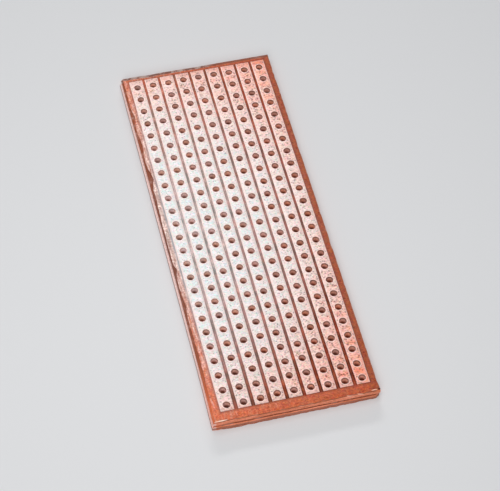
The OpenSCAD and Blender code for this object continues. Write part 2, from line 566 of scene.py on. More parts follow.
def painted_foil_edge_shade(tree, place, y, across, past_foil, in_border, outside_face_highlight):
    """How dark the painted shade is in a line 0.5 mm wide beside the foil, which fills the gaps
    between the strips
    """
    # Between the strips it is strongest at the near end; in the border it is faint, but full inside
    # the painted highlight, where it takes the pale sheen colour
    between = add_node(tree, "MapRange", y, STRIP_LOW[1], STRIP_HIGH[1], 0.92, 0.68)
    border_shade = add_node(tree, "MapRange", across, 0.0, 1.0, 0.62, 0.3)
    outside = add_node(tree, "MapRange", outside_face_highlight, 0.0, 0.7, 1.0, border_shade)
    strength = add_node(tree, "MapRange", in_border, 0.0, 0.1 * MM, between, outside)
    line = add_node(
        tree,
        "MapRange",
        past_foil,
        0.55 * MM,
        0.04 * MM,
        0.0,
        strength,
        interpolation_type="SMOOTHSTEP",
    )
    # It comes and goes over about 1.5 mm
    broken = add_node(tree, "TexNoise", place, 1 / (1.5 * MM), 2.0)
    kept = add_node(tree, "MapRange", broken, 0.35, 0.55, 0.7, 1.05)
    return add_node(tree, "Math", line, kept, operation="MULTIPLY", use_clamp=True)


def phenolic_paper_face(finish):
    """Pressed phenolic paper laminate: a glossy brown resin face with the cloudy, fibrous paper
    showing through, and a painted sheen that makes it pale on the middle of the left side"""
    material, tree, place = new_material("phenolic_paper_face")
    axes = add_node(tree, "SeparateXYZ", place).node.outputs
    across = add_node(tree, "MapRange", axes["X"], BOARD_LOW[0], COPPER_RIGHT)
    resin = clouded_resin(tree, place, axes["X"], across, finish)
    # Tufts of paper fibres 0.36 mm long and 0.26 mm thick
    fibres = stretched_noise(tree, place, (0.36, 0.26, 0.26), 3.0, 0.8)
    toned = tufted(tree, painted_sheen(tree, place, resin, finish), fibres, across)
    marked = notch_shade(tree, place, mottled(tree, place, toned, 0.3, 0.03), finish)
    for x, y, reach_x, reach_y in FACE_MARKS:
        off = off_centre(tree, place, (x, y, BOARD_HIGH[2] / MM), (reach_x, reach_y))
        marked = painted(tree, marked, finish.shade_and_dark_marks, off, 1.1, 0.7, 0.85)
    past_foil, in_border = past_strips(tree, axes)
    outside_face_highlight = add_node(tree, "MapRange", away_from_highlight(tree, place), 0.08, 0.7)
    # Painted shade in a line beside the foil, filling the gaps between the strips
    drawn = painted_foil_edge_shade(tree, place, axes["Y"], across, past_foil, in_border, outside_face_highlight)
    # Inside the painted highlight the shade line takes a pale grey, painted sheen
    shade_and_dark_marks = add_node(tree, "Mix", across, finish.foil_edge_shade_left, finish.shade_and_dark_marks, data_type="RGBA")
    line_colour = add_node(tree, "Mix", outside_face_highlight, finish.gap_sheen, shade_and_dark_marks, data_type="RGBA")
    lined = add_node(tree, "Mix", drawn, marked, line_colour, data_type="RGBA")
    # Between the strips flux and resin lie in runs about 2 mm long, from olive to red
    runs = add_node(tree, "MapRange", stretched_noise(tree, place, (1, 2), 2.0), 0.38, 0.62)
    olive, red = (0.64, 0.76, 0.72, 1), (1.27, 1.15, 1.13, 1)
    run_tone = add_node(tree, "Mix", runs, olive, red, data_type="RGBA")
    in_gap = add_node(tree, "MapRange", in_border, 0.0, 0.1 * MM, 1.0, 0.0)
    etched = tinted(tree, lined, in_gap, WHITE, run_tone)
    rough = add_node(tree, "MapRange", fibres, 0.3, 0.7, 0.26, 0.38)
    bump = add_node(tree, "Bump", Height=fibres, Strength=0.5, Distance=0.006 * MM)
    # The painted shade line is dull
    gloss = add_node(tree, "MapRange", drawn, 0.0, 1.0, 0.5, 0.12)
    surface(
        tree,
        Base_Color=etched,
        Roughness=rough,
        IOR=1.45,
        Specular_IOR_Level=gloss,
        Normal=bump,
    )
    return material


def bare_phenolic_underside(finish):
    """The face that never had foil: the same brown resin, smooth and satin, in even brown with
    the paper's fibres running along the board"""
    material, tree, place = new_material("bare_phenolic_underside")
    # Fibres 2.5 mm long and 0.3 mm thick, and paler clouds of 3 mm
    fibres = stretched_noise(tree, place, (0.3, 2.5, 0.3), 3.0, 0.4)
    clouds = add_node(tree, "TexNoise", place, 1 / (3 * MM), 3.0)
    paper = add_node(tree, "Math", fibres, clouds, operation="ADD")
    paler = add_node(tree, "MapRange", paper, 0.7, 1.3)
    dark, pale = (0.86, 0.78, 0.74, 1), (1.12, 1.2, 1.24, 1)
    face = tinted(tree, finish.underside[:3], paler, dark, pale)
    surface(tree, Base_Color=face, Roughness=0.45, IOR=1.5)
    return material


def sheared_paper_plies(finish):
    """The laminate's cut edge: dry paper plies, paler than the face, with a darker resin line
    between them, and quite matt"""
    material, tree, place = new_material("sheared_paper_plies")
    axes = add_node(tree, "SeparateXYZ", place).node.outputs
    # Plies 0.12 mm thick that waver over about 2 mm of edge
    plies = stretched_noise(tree, place, (2, 2, 0.12), 3.0, 0.4)
    mixed = painted(tree, finish.ply_dark, finish.ply, plies, 0.38, 0.62)
    # Painted light makes the left edge pale, least of all near its near end
    low_x, low_y = BOARD_LOW[0], BOARD_LOW[1]
    at_left = add_node(tree, "MapRange", axes["X"], low_x + 0.5 * MM, low_x + 0.35 * MM)
    along = add_node(tree, "MapRange", axes["Y"], low_y + 1 * MM, low_y + 12 * MM, 0.6)
    rubbed = add_node(tree, "Math", at_left, along, operation="MULTIPLY")
    pale = add_node(tree, "Mix", rubbed, mixed, finish.ply_lit_left, data_type="RGBA")
    # Painted shade darkens the lip below its crest, towards its foot
    foot_shaded = painted(tree, pale, finish.grey_and_shade, axes["Z"], 0.42 * MM, 0.28 * MM, 0.72)
    # Torn fibre ends 0.2 mm across
    ends = add_node(tree, "TexNoise", place, 1 / (0.2 * MM), 2.0)
    toned = shaded(tree, foot_shaded, ends, 0.3, 0.7, 0.82, 1.15)
    notch_shaded = notch_shade(tree, place, toned, finish)
    bump = add_node(tree, "Bump", Height=plies, Strength=0.8, Distance=0.02 * MM)
    surface(tree, Base_Color=notch_shaded, Roughness=0.7, IOR=1.5, Normal=bump)
    return material


def torn_plies_and_shade(finish):
    """Inner plies laid bare where the top ones splintered off: dark, dry and uneven, with paler
    dusty patches; the same dark colour is painted shade in the groove, on the lip's top and at its
    foot"""
    material, tree, place = new_material("torn_plies_and_shade")
    axes = add_node(tree, "SeparateXYZ", place).node.outputs
    far = BOARD_HIGH[1]
    # Patches of dust 1.1 mm across
    patches = add_node(tree, "TexNoise", place, 1 / (1.1 * MM), 4.0)
    dusty = painted(tree, finish.torn, finish.sheen_and_dust, patches, 0.52, 0.72, 0.35)
    # They are greyed in the middle of the left edge and along the far one
    greyed_mid_left = add_node(tree, "MapRange", away_from_highlight(tree, place), 0.5, 0.1, 0.0, 0.7)
    at_far = add_node(tree, "MapRange", axes["Y"], far - 0.7 * MM, far - 0.25 * MM, 0.0, 0.5)
    greyed = add_node(tree, "Math", greyed_mid_left, at_far, operation="MAXIMUM")
    aged = add_node(tree, "Mix", greyed, dusty, finish.grey_and_shade, data_type="RGBA")
    # Grey grit in grains of 0.6 mm lies on the left half of the far edge
    grains = add_node(tree, "TexNoise", place, 1 / (0.6 * MM), 2.0)
    grit = painted(tree, finish.grey_and_shade, finish.grit, grains, 0.4, 0.62)
    on_left = add_node(tree, "MapRange", axes["X"], 3.5 * MM, 1 * MM, 0.0, 0.8)
    at_back = add_node(tree, "MapRange", axes["Y"], far - 0.7 * MM, far - 0.5 * MM)
    gritted = add_node(tree, "Math", on_left, at_back, operation="MULTIPLY")
    soiled = add_node(tree, "Mix", gritted, aged, grit, data_type="RGBA")
    # Fibre tufts of 0.15 mm
    tufts = add_node(tree, "TexNoise", place, 1 / (0.15 * MM), 2.0)
    toned = shaded(tree, soiled, tufts, 0.3, 0.7, 0.75, 1.2)
    # They grow darker towards the far end, and are fresh at the near left corner
    dimmed = shaded(tree, toned, axes["Y"], 0.2 * BOARD_LOW[1], 0.6 * far, 1.0, 0.92)
    at_left, at_near = [
        add_node(tree, "MapRange", axes[axis], start, start - reach, 0.0, 0.9)
        for axis, start, reach in (
            ("X", BOARD_LOW[0] + 1.3 * MM, 0.3 * MM),
            ("Y", BOARD_LOW[1] + 11 * MM, 8 * MM),
        )
    ]
    fresh = add_node(tree, "Math", at_left, at_near, operation="MULTIPLY")
    torn = add_node(tree, "Mix", fresh, dimmed, finish.face_left, data_type="RGBA")
    notch_shaded = notch_shade(tree, place, torn, finish)
    bump = add_node(tree, "Bump", Height=tufts, Strength=0.8, Distance=0.02 * MM)
    surface(tree, Base_Color=notch_shaded, Roughness=0.85, IOR=1.5, Normal=bump)
    return material


def drilled_phenolic(finish):
    """The wall of a drilled hole: scraped paper fibres, pale and matt, with painted shade in a ring
    right under the foil and further down"""
    material, tree, place = new_material("drilled_phenolic")
    axes = add_node(tree, "SeparateXYZ", place).node.outputs
    top = BOARD_HIGH[2]
    # Painted shade: the wall darkens from 0.7 mm below the face downwards
    walls = painted(
        tree, finish.bore, finish.bore_shade, axes["Z"], top - 0.68 * MM, top - 1.05 * MM
    )
    # A ring of painted shade over the top 0.17 mm, chamfer and all, fainter inside the painted
    # highlight
    sheen_and_dust = add_node(tree, "MapRange", away_from_highlight(tree, place), 0.55, 0.15)
    strength = add_node(tree, "MapRange", sheen_and_dust, 0.0, 1.0, 0.72, 0.5)
    ringed = painted(
        tree, walls, finish.shade_and_dark_marks, axes["Z"], top - 0.24 * MM, top - 0.17 * MM, strength
    )
    # The holes are redder towards the right, and a painted highlight pales those on the middle of
    # the left side
    across = add_node(tree, "MapRange", axes["X"], FIRST_HOLE.x, LAST_HOLE.x)
    redder = tinted(tree, ringed, across, WHITE, (0.94, 0.79, 0.7, 1))
    highlit = tinted(tree, redder, sheen_and_dust, WHITE, (1.04, 1.24, 1.36, 1))
    # Fibre tufts of 0.22 mm, and whole holes that came out lighter, darker, redder or greyer than
    # their neighbours
    tuft_tone, hole_tone = [
        add_node(
            tree,
            "MapRange",
            add_node(tree, "TexNoise", place, 1 / (size * MM), 1.0),
            0.35,
            0.65,
            low,
            high,
        )
        for size, low, high in ((0.22, 0.85, 1.15), (2.2, 0.9, 1.12))
    ]
    tone = add_node(tree, "Math", tuft_tone, hole_tone, operation="MULTIPLY")
    toned = add_node(tree, "VectorMath", highlit, tone, operation="SCALE")
    hues = add_node(tree, "TexNoise", place, 1 / (1.9 * MM), 0.0, Distortion=0.3)
    greyer = add_node(tree, "MapRange", hues, 0.35, 0.65)
    varied = tinted(tree, toned, greyer, (1.04, 0.97, 0.86, 1), (0.96, 1.03, 1.1, 1))
    surface(tree, Base_Color=varied, Roughness=0.8, IOR=1.5)
    return material


def raised_paper_fibre(finish):
    """A splinter of paper standing off the edge, dry and matt, with a painted highlight that
    makes it almost white
    """
    material, tree, place = new_material("raised_paper_fibre")
    axes = add_node(tree, "SeparateXYZ", place).node.outputs
    # Streaks 0.3 mm long
    streaks = add_node(tree, "TexNoise", place, 1 / (0.3 * MM), 2.0)
    streaked = add_node(tree, "MapRange", streaks, 0.35, 0.65, 0.0, 0.5)
    # The right-hand ones keep their resin
    resinous = add_node(tree, "MapRange", axes["X"], 0.0, 2 * MM, 0.0, 0.5)
    share = add_node(tree, "Math", streaked, resinous, operation="MAXIMUM")
    mixed = add_node(tree, "Mix", share, finish.fibre_highlight, finish.ply, data_type="RGBA")
    surface(tree, Base_Color=mixed, Roughness=0.6, IOR=1.5)
    return material


# ---------------------------------------------------------------------------------------------
# Shapes shared by the board and the foil


def waver(seed, along, grain):
    """Smooth noise from -1 to 1 along a line; each seed has a line of its own"""
    return noise.noise(Vector((along / grain, seed * 9.13, seed * 3.71)))


def hole_centre(drill, strip, row):
    """Centre of a hole: the drill wandered a little, but not at the two gauged lead holes"""
    ideal = Vector((FIRST_HOLE.x + strip * PITCH, FIRST_HOLE.y + row * PITCH))
    if (strip, row) in ((0, 0), (len(STRIPS) - 1, ROWS - 1)):
        return ideal
    dice = random.Random(CENTRE_SEED + strip * ROWS + row)
    too_far = TOO_FAR - TOO_FAR_LESS * row if strip in MIDDLE_STRIPS else 0
    drift = Vector((-TOO_LEFT if strip == MIDDLE_STRIPS[1] else 0, too_far)) * MM
    return ideal + drift + Vector([dice.uniform(-1, 1) * drill.wander for _ in range(2)])


def step_angle(step):
    """Angle of a hole's step; step 0 points at the cell's near left corner"""
    return math.radians(-135) + math.tau * step / ROUND_STEPS


def hole_radii(drill, strip, row):
    """Radius of a hole's rim at each of its steps: a little oval, and rough where it chattered"""
    dice = random.Random(RADIUS_SEED + strip * ROWS + row)
    start, squash = dice.uniform(0, math.tau), dice.uniform(0.2, 1) * drill.ragged
    radii = []
    for step in range(ROUND_STEPS):
        turn = step_angle(step)
        chatter = waver(strip * ROWS + row, 1 + math.cos(turn), 0.3)
        radii.append(HOLE_RADIUS + squash * math.cos(2 * turn + start) + drill.ragged * chatter)
    return radii


def cell_outline(column, row):
    """Grid places round one square cell, in the order of the hole's steps"""
    n = SIDE_STEPS
    x, y = column * n, row * n
    return (
        [(x + i, y) for i in range(n)]
        + [(x + n, y + i) for i in range(n)]
        + [(x + n - i, y + n) for i in range(n)]
        + [(x, y + n - i) for i in range(n)]
    )


def ring_of_verts(bm, centre, radii, z):
    """A ring of vertices round a hole"""
    ring = []
    for step, radius in enumerate(radii):
        x = centre.x + radius * math.cos(step_angle(step))
        y = centre.y + radius * math.sin(step_angle(step))
        ring.append(bm.verts.new((x, y, z)))
    return ring


def bridge(bm, first, second, materials=(0,)):
    """Quads between two rings of vertices of the same length, each with its material"""
    for i, material in zip(range(len(first)), itertools.cycle(materials)):
        j = (i + 1) % len(first)
        face = bm.faces.new((first[i], first[j], second[j], second[i]))
        face.material_index = material


def finish_piece(bm, name, materials, sharp, replaced=None):
    """Turns the bmesh into a smooth-shaded piece that rides on the board. Edges sharper than so
    many degrees stay sharp; the piece may stand for a solid"""
    bmesh.ops.recalc_face_normals(bm, faces=bm.faces)
    mesh = bpy.data.meshes.new(name)
    bm.to_mesh(mesh)
    bm.free()
    for material in materials:
        mesh.materials.append(material)
    mesh.shade_smooth()
    mesh.set_sharp_from_angle(angle=math.radians(sharp))
    piece = bpy.data.objects.new(name, mesh)
    bpy.context.scene.collection.objects.link(piece)
    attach(piece, "root")
    if replaced:
        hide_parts(replaced)


# ---------------------------------------------------------------------------------------------
# The laminate

FACE, PLIES, TORN_AND_SHADE, BORE, UNDERSIDE = range(5)  # its materials


def lip_inset(edges, side):
    """How far the lip stands out past the cut edge above it"""
    return edges.lip_out if side in ("left", "near") else 0


def splinter_inset(edges, side, along):
    """How far the top plies' edge lies in from the board's outline, on one side of the board"""
    # The torn waver is two sines that never fall in step, as in the solid, and finer on the sides
    # that were cut cleanly
    far_along = along / MM + TORN_START[side]
    slow, quick = math.radians(far_along * 97 + 40), math.radians(far_along * 251)
    torn = (0.02 if side in ("left", "near") else 0.008) * (2 + math.sin(quick) + math.sin(slow))
    lost = sum(
        reach * math.exp(-(((along / MM - middle) / half) ** 2))
        for middle, reach, half in SPLINTERS[side]
    )
    band = {"left": edges.chip_band, "far": -edges.far_out}.get(side, 0)
    return lip_inset(edges, side) + band + (torn + lost) * MM


def ply_inset(edges, side, along):
    """How far the whole upper plies lie in from the lip: the left edge is rubbed back, but for
    its near end, and less at its far end"""
    rubbed = 0.0
    if side == "left":
        # It sets in smoothly from 10 to 28 mm along, and most of it ends from 50 to 58 mm
        set_in = min(1, max(0, (along / MM - 10) / 18))
        ended = min(1, max(0, (along / MM - 50) / 8))
        rubbed = edges.rubbed * set_in * set_in * (3 - 2 * set_in) * (1 - 0.7 * ended)
    return lip_inset(edges, side) + rubbed


def edge_profile(edges, side, along):
    """Inset and height of each ring of the edge, from the top face down to the bottom face, with
    the material of the band under each ring"""
    index = SIDES.index(side)
    top = BOARD_HIGH[2]
    plies = ply_inset(edges, side, along)
    splinter = splinter_inset(edges, side, along)
    groove = edges.groove_depth - edges.lip_out + lip_inset(edges, side)
    under_groove = edges.lip_height
    over_groove = under_groove + edges.groove_height
    # Fibres stand in or out every 0.35 mm or so, and the depth of the tear changes every 0.8 mm
    rough = [edges.roughness * waver(index * 20 + i, along, 0.35 * MM) for i in range(9)]
    coarse = [waver(index * 20 + 40 + i, along, 0.8 * MM) for i in range(3)]
    # The splinters thin out towards the near end of the left edge
    depth = edges.chip_depth
    if side == "left":
        depth *= 0.3 + 0.7 * min(1, along / (8 * MM))
    # Width and drop of the worn bevel between the top face and the edge
    bevel, drop = {
        "right": (0.14 * MM, 0.03 * MM),
        "far": (edges.far_bevel, edges.far_drop),
    }.get(side, (0.05 * MM, 0.015 * MM))
    # Material of the shoulder, of the step below it, of the ledge at the step's foot, of the top
    # of the lip and of its foot
    # Where the top of the lip and its foot take the dark torn plies, that is painted shade
    shoulder, step, ledge, lip_top, foot = {
        "near": (FACE, TORN_AND_SHADE, PLIES, TORN_AND_SHADE, TORN_AND_SHADE),
        "right": (TORN_AND_SHADE, TORN_AND_SHADE, PLIES, TORN_AND_SHADE, TORN_AND_SHADE),
        "far": (TORN_AND_SHADE, TORN_AND_SHADE, PLIES, TORN_AND_SHADE, TORN_AND_SHADE),
        "left": (FACE, TORN_AND_SHADE, TORN_AND_SHADE, PLIES, PLIES),
    }[side]
    # The near edge's burr shrinks by a third towards the right, and grows over its first 2.4 mm
    burr = edges.burr
    if side == "near":
        burr = edges.near_burr * (1 - 0.35 * along / (BOARD_HIGH[0] - BOARD_LOW[0]))
        burr *= min(1, 0.4 + along / (4 * MM))
    burr *= 1 + 0.3 * waver(index * 20 + 60, along, 0.5 * MM)
    # The lip is knocked off within 0.8 mm of the near right corner
    off_corner = {"near": BOARD_HIGH[0] - BOARD_LOW[0] - along, "right": along}.get(side, 1)
    lip = abs(rough[8]) + edges.knock * max(0, 1 - off_corner / (0.8 * MM)) ** 2
    return (
        (splinter + bevel, top, shoulder),
        (splinter, top - drop, step),
        (splinter - 0.02 * MM, top - depth * (0.7 + 0.2 * coarse[0]), ledge),
        (plies + 0.4 * (splinter - plies), top - depth * (0.85 + 0.2 * coarse[1]), ledge),
        (plies + abs(rough[0]), top - depth * (1 + 0.1 * coarse[2]), PLIES),
        (plies + abs(rough[1]), top - edges.chip_depth - 0.2 * MM, PLIES),
        (plies + abs(rough[2]), top - edges.chip_depth - 0.4 * MM, PLIES),
        (plies + abs(rough[3]), over_groove + rough[4], PLIES),
        # The groove's back wall and the foot's lowest band take the dark torn plies as painted
        # shade
        (groove + rough[5], over_groove - 0.03 * MM + rough[4], TORN_AND_SHADE),
        (groove + rough[6], under_groove + 0.03 * MM + rough[7], lip_top),
        (lip, under_groove + rough[7], PLIES),
        (lip - 0.4 * burr, under_groove * 0.5, PLIES),
        (lip - 0.8 * burr, 0.16 * MM, foot),
        (lip - burr, 0.05 * MM, TORN_AND_SHADE),
        (lip - 0.8 * burr, 0.0, UNDERSIDE),
    )


def edge_point(edges, side, along, inset):
    """The point this far along one side and this far in from the board's outline. The near
    corners flare out, over 1.2 mm at the right and 6 mm at the left"""
    if side == "near":
        return BOARD_LOW[0] + along, BOARD_LOW[1] + inset
    if side == "far":
        return BOARD_LOW[0] + along, BOARD_HIGH[1] - inset
    if side == "right":
        flare = edges.flare * math.exp(-((along / (1.2 * MM)) ** 2))
        return BOARD_HIGH[0] + flare - inset, BOARD_LOW[1] + along
    run = BOARD_HIGH[1] - BOARD_LOW[1]
    inset += edges.skew * along / run - edges.flare * math.exp(-((along / (6 * MM)) ** 2))
    return BOARD_LOW[0] + inset, BOARD_LOW[1] + along


def field_steps(side):
    """Steps of the cells along one side of the field of holes"""
    return SIDE_STEPS * (len(STRIPS), ROWS)[SIDE_AXIS[side]]


def corner_place(edges, level, first, second, corner):
    """Where two sides of a ring meet, with the corner itself rubbed off a little"""
    place = corner.copy()
    for side in (first, second):
        axis = SIDE_AXIS[side]
        along = corner[axis] - BOARD_LOW[axis]
        inset = edge_profile(edges, side, along)[level][0]
        place[1 - axis] = edge_point(edges, side, along, inset)[1 - axis]
    middle = Vector(((BOARD_LOW[0] + BOARD_HIGH[0]) / 2, (BOARD_LOW[1] + BOARD_HIGH[1]) / 2))
    rubbed = Vector((math.copysign(1, middle.x - place.x), math.copysign(1, middle.y - place.y)))
    return place + rubbed * CORNER_RUB * MM


def board_rings(edges, field):
    """The rings of the board's edge as points. A ring's steps run counter-clockwise: past each
    corner come the corner's steps, and along the field of holes two steps for each step of the
    cells"""
    (left, near), (right, far) = BOARD_LOW[:2], BOARD_HIGH[:2]
    board = [Vector(place) for place in ((left, near), (right, near), (right, far), (left, far))]
    rings = []
    for level in range(len(edge_profile(edges, "near", 0))):
        ring = []
        for i, side in enumerate(SIDES):
            j = (i + 1) % 4
            steps = field_steps(side)
            start = corner_place(edges, level, SIDES[i - 1], side, board[i])
            end = corner_place(edges, level, side, SIDES[j], board[j])
            places = (
                [start.lerp(field[i], t / CORNER_STEPS) for t in range(CORNER_STEPS)]
                + [field[i].lerp(field[j], t / steps / 2) for t in range(2 * steps + 1)]
                + [field[j].lerp(end, t / CORNER_STEPS) for t in range(1, CORNER_STEPS)]
            )
            axis = SIDE_AXIS[side]
            for place in places:
                along = place[axis] - BOARD_LOW[axis]
                inset, z, _ = edge_profile(edges, side, along)[level]
                ring.append((*edge_point(edges, side, along, inset), z))
        rings.append(ring)
    return rings


def grid_verts(bm, z):
    """Vertices along the sides of all cells, at one height, by their place in the grid"""
    half = PITCH / 2
    step = PITCH / SIDE_STEPS
    made = {}
    for x in range(len(STRIPS) * SIDE_STEPS + 1):
        for y in range(ROWS * SIDE_STEPS + 1):
            if x % SIDE_STEPS == 0 or y % SIDE_STEPS == 0:
                place = FIRST_HOLE.x - half + x * step, FIRST_HOLE.y - half + y * step
                made[x, y] = bm.verts.new((*place, z))
    return made


def drilled_hole(bm, drill, strip, row, upper, lower):
    """One hole right through the laminate, with the face of its cell on both sides"""
    centre = hole_centre(drill, strip, row)
    radii = hole_radii(drill, strip, row)
    outline = cell_outline(strip, row)
    rings = []
    for level, (opening, depth) in enumerate(HOLE_WALL):
        grown = [
            radius
            + opening * MM
            + 0.012 * MM * waver(strip * ROWS + row + 50 * level, i * 0.4 * MM, 1 * MM)
            for i, radius in enumerate(radii)
        ]
        rings.append(ring_of_verts(bm, centre, grown, BOARD_HIGH[2] - depth * MM))
    bridge(bm, [upper[place] for place in outline], rings[0], [FACE])
    for above, below in zip(rings, rings[1:]):
        bridge(bm, above, below, [BORE])
    bridge(bm, rings[-1], [lower[place] for place in outline], [UNDERSIDE])


def border_faces(bm, ring, grid, corners, material):
    """The bare border between the field of holes and one ring of the edge"""

    def triangle(*verts):
        bm.faces.new(verts).material_index = material

    at = 0
    for side, start, end in zip(SIDES, corners, corners[1:] + corners[:1]):
        steps = field_steps(side)
        # The corner before this side is a fan about the field's corner
        fan = grid[start]
        for k in range(-CORNER_STEPS, CORNER_STEPS):
            triangle(fan, ring[(at + k) % len(ring)], ring[(at + k + 1) % len(ring)])
        at += CORNER_STEPS
        step_x = (end[0] - start[0]) // steps
        step_y = (end[1] - start[1]) // steps
        for k in range(steps):
            a = grid[start[0] + step_x * k, start[1] + step_y * k]
            b = grid[start[0] + step_x * (k + 1), start[1] + step_y * (k + 1)]
            outer = [ring[(at + 2 * k + m) % len(ring)] for m in range(3)]
            triangle(a, outer[0], outer[1])
            triangle(a, outer[1], b)
            triangle(b, outer[1], outer[2])
        at += 2 * steps + CORNER_STEPS


def torn_border(bm, edges, upper, lower):
    """The board's torn edge, and the bare borders between it and the field of holes"""
    right, far = len(STRIPS) * SIDE_STEPS, ROWS * SIDE_STEPS
    corners = [(0, 0), (right, 0), (right, far), (0, far)]
    field = [upper[place].co.xy for place in corners]
    rings = [[bm.verts.new(point) for point in points] for points in board_rings(edges, field)]
    for level, (above, below) in enumerate(zip(rings, rings[1:])):
        bands = []
        for side in SIDES:
            steps = 2 * field_steps(side) + 2 * CORNER_STEPS
            bands += [edge_profile(edges, side, 0)[level][2]] * steps
        bridge(bm, above, below, bands)
    for ring, grid, material in ((rings[0], upper, FACE), (rings[-1], lower, UNDERSIDE)):
        border_faces(bm, ring, grid, corners, material)


def build_laminate(scene):
    """The drilled laminate with its torn edges, as one closed mesh"""
    bm = bmesh.new()
    upper, lower = grid_verts(bm, BOARD_HIGH[2]), grid_verts(bm, BOARD_LOW[2])
    for strip, row in itertools.product(range(len(STRIPS)), range(ROWS)):
        drilled_hole(bm, scene.board_drilling, strip, row, upper, lower)
    torn_border(bm, scene.board_edges, upper, lower)
    # In the order of FACE, PLIES, TORN_AND_SHADE, BORE and UNDERSIDE
    makers = (
        phenolic_paper_face,
        sheared_paper_plies,
        torn_plies_and_shade,
        drilled_phenolic,
        bare_phenolic_underside,
    )
    materials = [maker(scene.laminate_finish) for maker in makers]
    finish_piece(bm, "laminate_board", materials, 40, "laminate")


# ---------------------------------------------------------------------------------------------
# The copper foil


def etched_inset(drill, seed, along):
    """How far the etchant ate into a strip's side, with a small bite here and there; the left
    sides keep a foot of foil, but for the near end"""
    dice = random.Random(seed)
    inset = drill.foil_waver * waver(seed, along, 0.45 * MM)
    if seed % 2 == 0:
        inset -= drill.foil_foot * (1 if seed == 0 else min(1, along / (20 * MM)))
    # The near end was etched a little longer: the right sides on the left half, and the left
    # sides on the right half
    share = seed / (2 * len(STRIPS))
    longer = (share if seed % 2 == 0 else 1 - share) ** 2
    inset += (0.03 + 0.09 * longer) * MM * math.exp(-along / (12 * MM)) * (seed > 0)
    # The bites are 0.16 mm wide and lie anywhere along the strip's first 64 mm
    for _ in range(BITES):
        bite = dice.uniform(0, 64) * MM
        inset += 0.05 * MM * math.exp(-(((along - bite) / (0.16 * MM)) ** 2))
    return inset


def etched_strip(bm, lip, drill, index):
    """The etched sides of a strip, and the vertices of the cells' sides on its top and underside,
    by their place in the grid"""
    low, high = FOIL_BOXES[index]
    breaks = [low[1]] + [FIRST_HOLE.y + (row - 0.5) * PITCH for row in range(1, ROWS)] + [high[1]]
    last = ROWS * SIDE_STEPS
    # The etched side slopes out from the foil's top by way of a brow to its foot
    shoulder, brow_out, brow_drop = 0.03 * MM, 0.012 * MM, 0.008 * MM

    def strip_place(x, y, inset):
        """A grid place on the strip, with the strip's outline drawn in by inset"""
        row, part = divmod(y, SIDE_STEPS)
        along = high[1]
        if row < ROWS:
            along = breaks[row] + (breaks[row + 1] - breaks[row]) * (part / SIDE_STEPS)
        eaten = [etched_inset(drill, index * 2 + side, along - low[1]) for side in (0, 1)]
        left, right = low[0] + eaten[0] + inset, high[0] - eaten[1] - inset
        if y == 0:
            along += inset + abs(waver(index + 70, x, 3)) * 0.03 * MM
        elif y == last:
            along -= inset + abs(waver(index + 90, x, 3)) * 0.03 * MM
        return left + (right - left) * x / SIDE_STEPS, along

    def on_rim(x, y):
        """Whether a grid place lies on the strip's outline"""
        return x in (0, SIDE_STEPS) or y in (0, last)

    places = [
        (x, y)
        for y in range(last + 1)
        for x in range(SIDE_STEPS + 1)
        if x in (0, SIDE_STEPS) or y % SIDE_STEPS == 0
    ]
    upper = {p: bm.verts.new((*strip_place(*p, shoulder), high[2])) for p in places}
    lower = {p: bm.verts.new((*strip_place(*p, 0), low[2])) for p in places}
    loop = (
        [(x, 0) for x in range(SIDE_STEPS)]
        + [(SIDE_STEPS, y) for y in range(last)]
        + [(x, last) for x in range(SIDE_STEPS, 0, -1)]
        + [(0, y) for y in range(last, 0, -1)]
    )
    brow = [bm.verts.new((*strip_place(*p, brow_out), high[2] - brow_drop)) for p in loop]
    # The brow and the outline of the top take painted highlight
    for vert in brow:
        vert[lip] = 0.8
    for place, vert in upper.items():
        vert[lip] = 0.45 if on_rim(*place) else 0.0
    bridge(bm, [upper[p] for p in loop], brow)
    bridge(bm, brow, [lower[p] for p in loop])
    return upper, lower


def torn_radii(drill, strip, row):
    """Radii of the hole in the foil; at one hole in sixteen the drill tore a small notch"""
    radii = hole_radii(drill, strip, row)
    dice = random.Random(TEAR_SEED + strip * ROWS + row)
    torn, notch = dice.random() < 0.06, dice.uniform(-0.6, 0.6) + dice.choice((0, math.pi))
    if torn:
        for step in range(ROUND_STEPS):
            off = math.remainder(step_angle(step) - notch, math.tau)
            radii[step] += 0.09 * MM * math.exp(-((off / 0.22) ** 2))
    # It pushed the foil back further towards the near and right edges
    further = 0.025 * MM * max(strip / (len(STRIPS) - 1), 1 - row / 8)
    return [radius + FOIL_CLEARANCE + further for radius in radii]


def burred_hole(bm, lip, drill, index, row, upper, lower):
    """One hole through a strip, with its raised burr and the foil of its cell on both sides"""
    low, high = FOIL_BOXES[index]
    centre = hole_centre(drill, index, row)
    radii = torn_radii(drill, index, row)
    outline = cell_outline(0, row)
    floor_ring = ring_of_verts(bm, centre, radii, low[2])
    rings = [floor_ring]
    for share, rise, clean in BURR:
        spread = [
            radius + share * drill.burr_width * (1 + 0.25 * waver(index * 30 + row, i, 3))
            for i, radius in enumerate(radii)
        ]
        ring = ring_of_verts(bm, centre, spread, high[2] + rise * drill.burr_height)
        # Each ring of the burr takes its share of painted highlight
        for vert in ring:
            vert[lip] = clean
        rings.append(ring)
    for inner, outer in zip(rings, rings[1:]):
        bridge(bm, inner, outer)
    bridge(bm, rings[-1], [upper[p] for p in outline])
    bridge(bm, floor_ring, [lower[p] for p in outline])


def build_strip(scene, index):
    """One drilled foil strip, with a raised burr round each hole and etched sides"""
    drill = scene.board_drilling
    bm = bmesh.new()
    # How much painted highlight each vertex takes, for the foil's material
    lip = bm.verts.layers.float.new("lip")
    upper, lower = etched_strip(bm, lip, drill, index)
    for row in range(ROWS):
        burred_hole(bm, lip, drill, index, row, upper, lower)
    return bm


# ---------------------------------------------------------------------------------------------
# Splinters


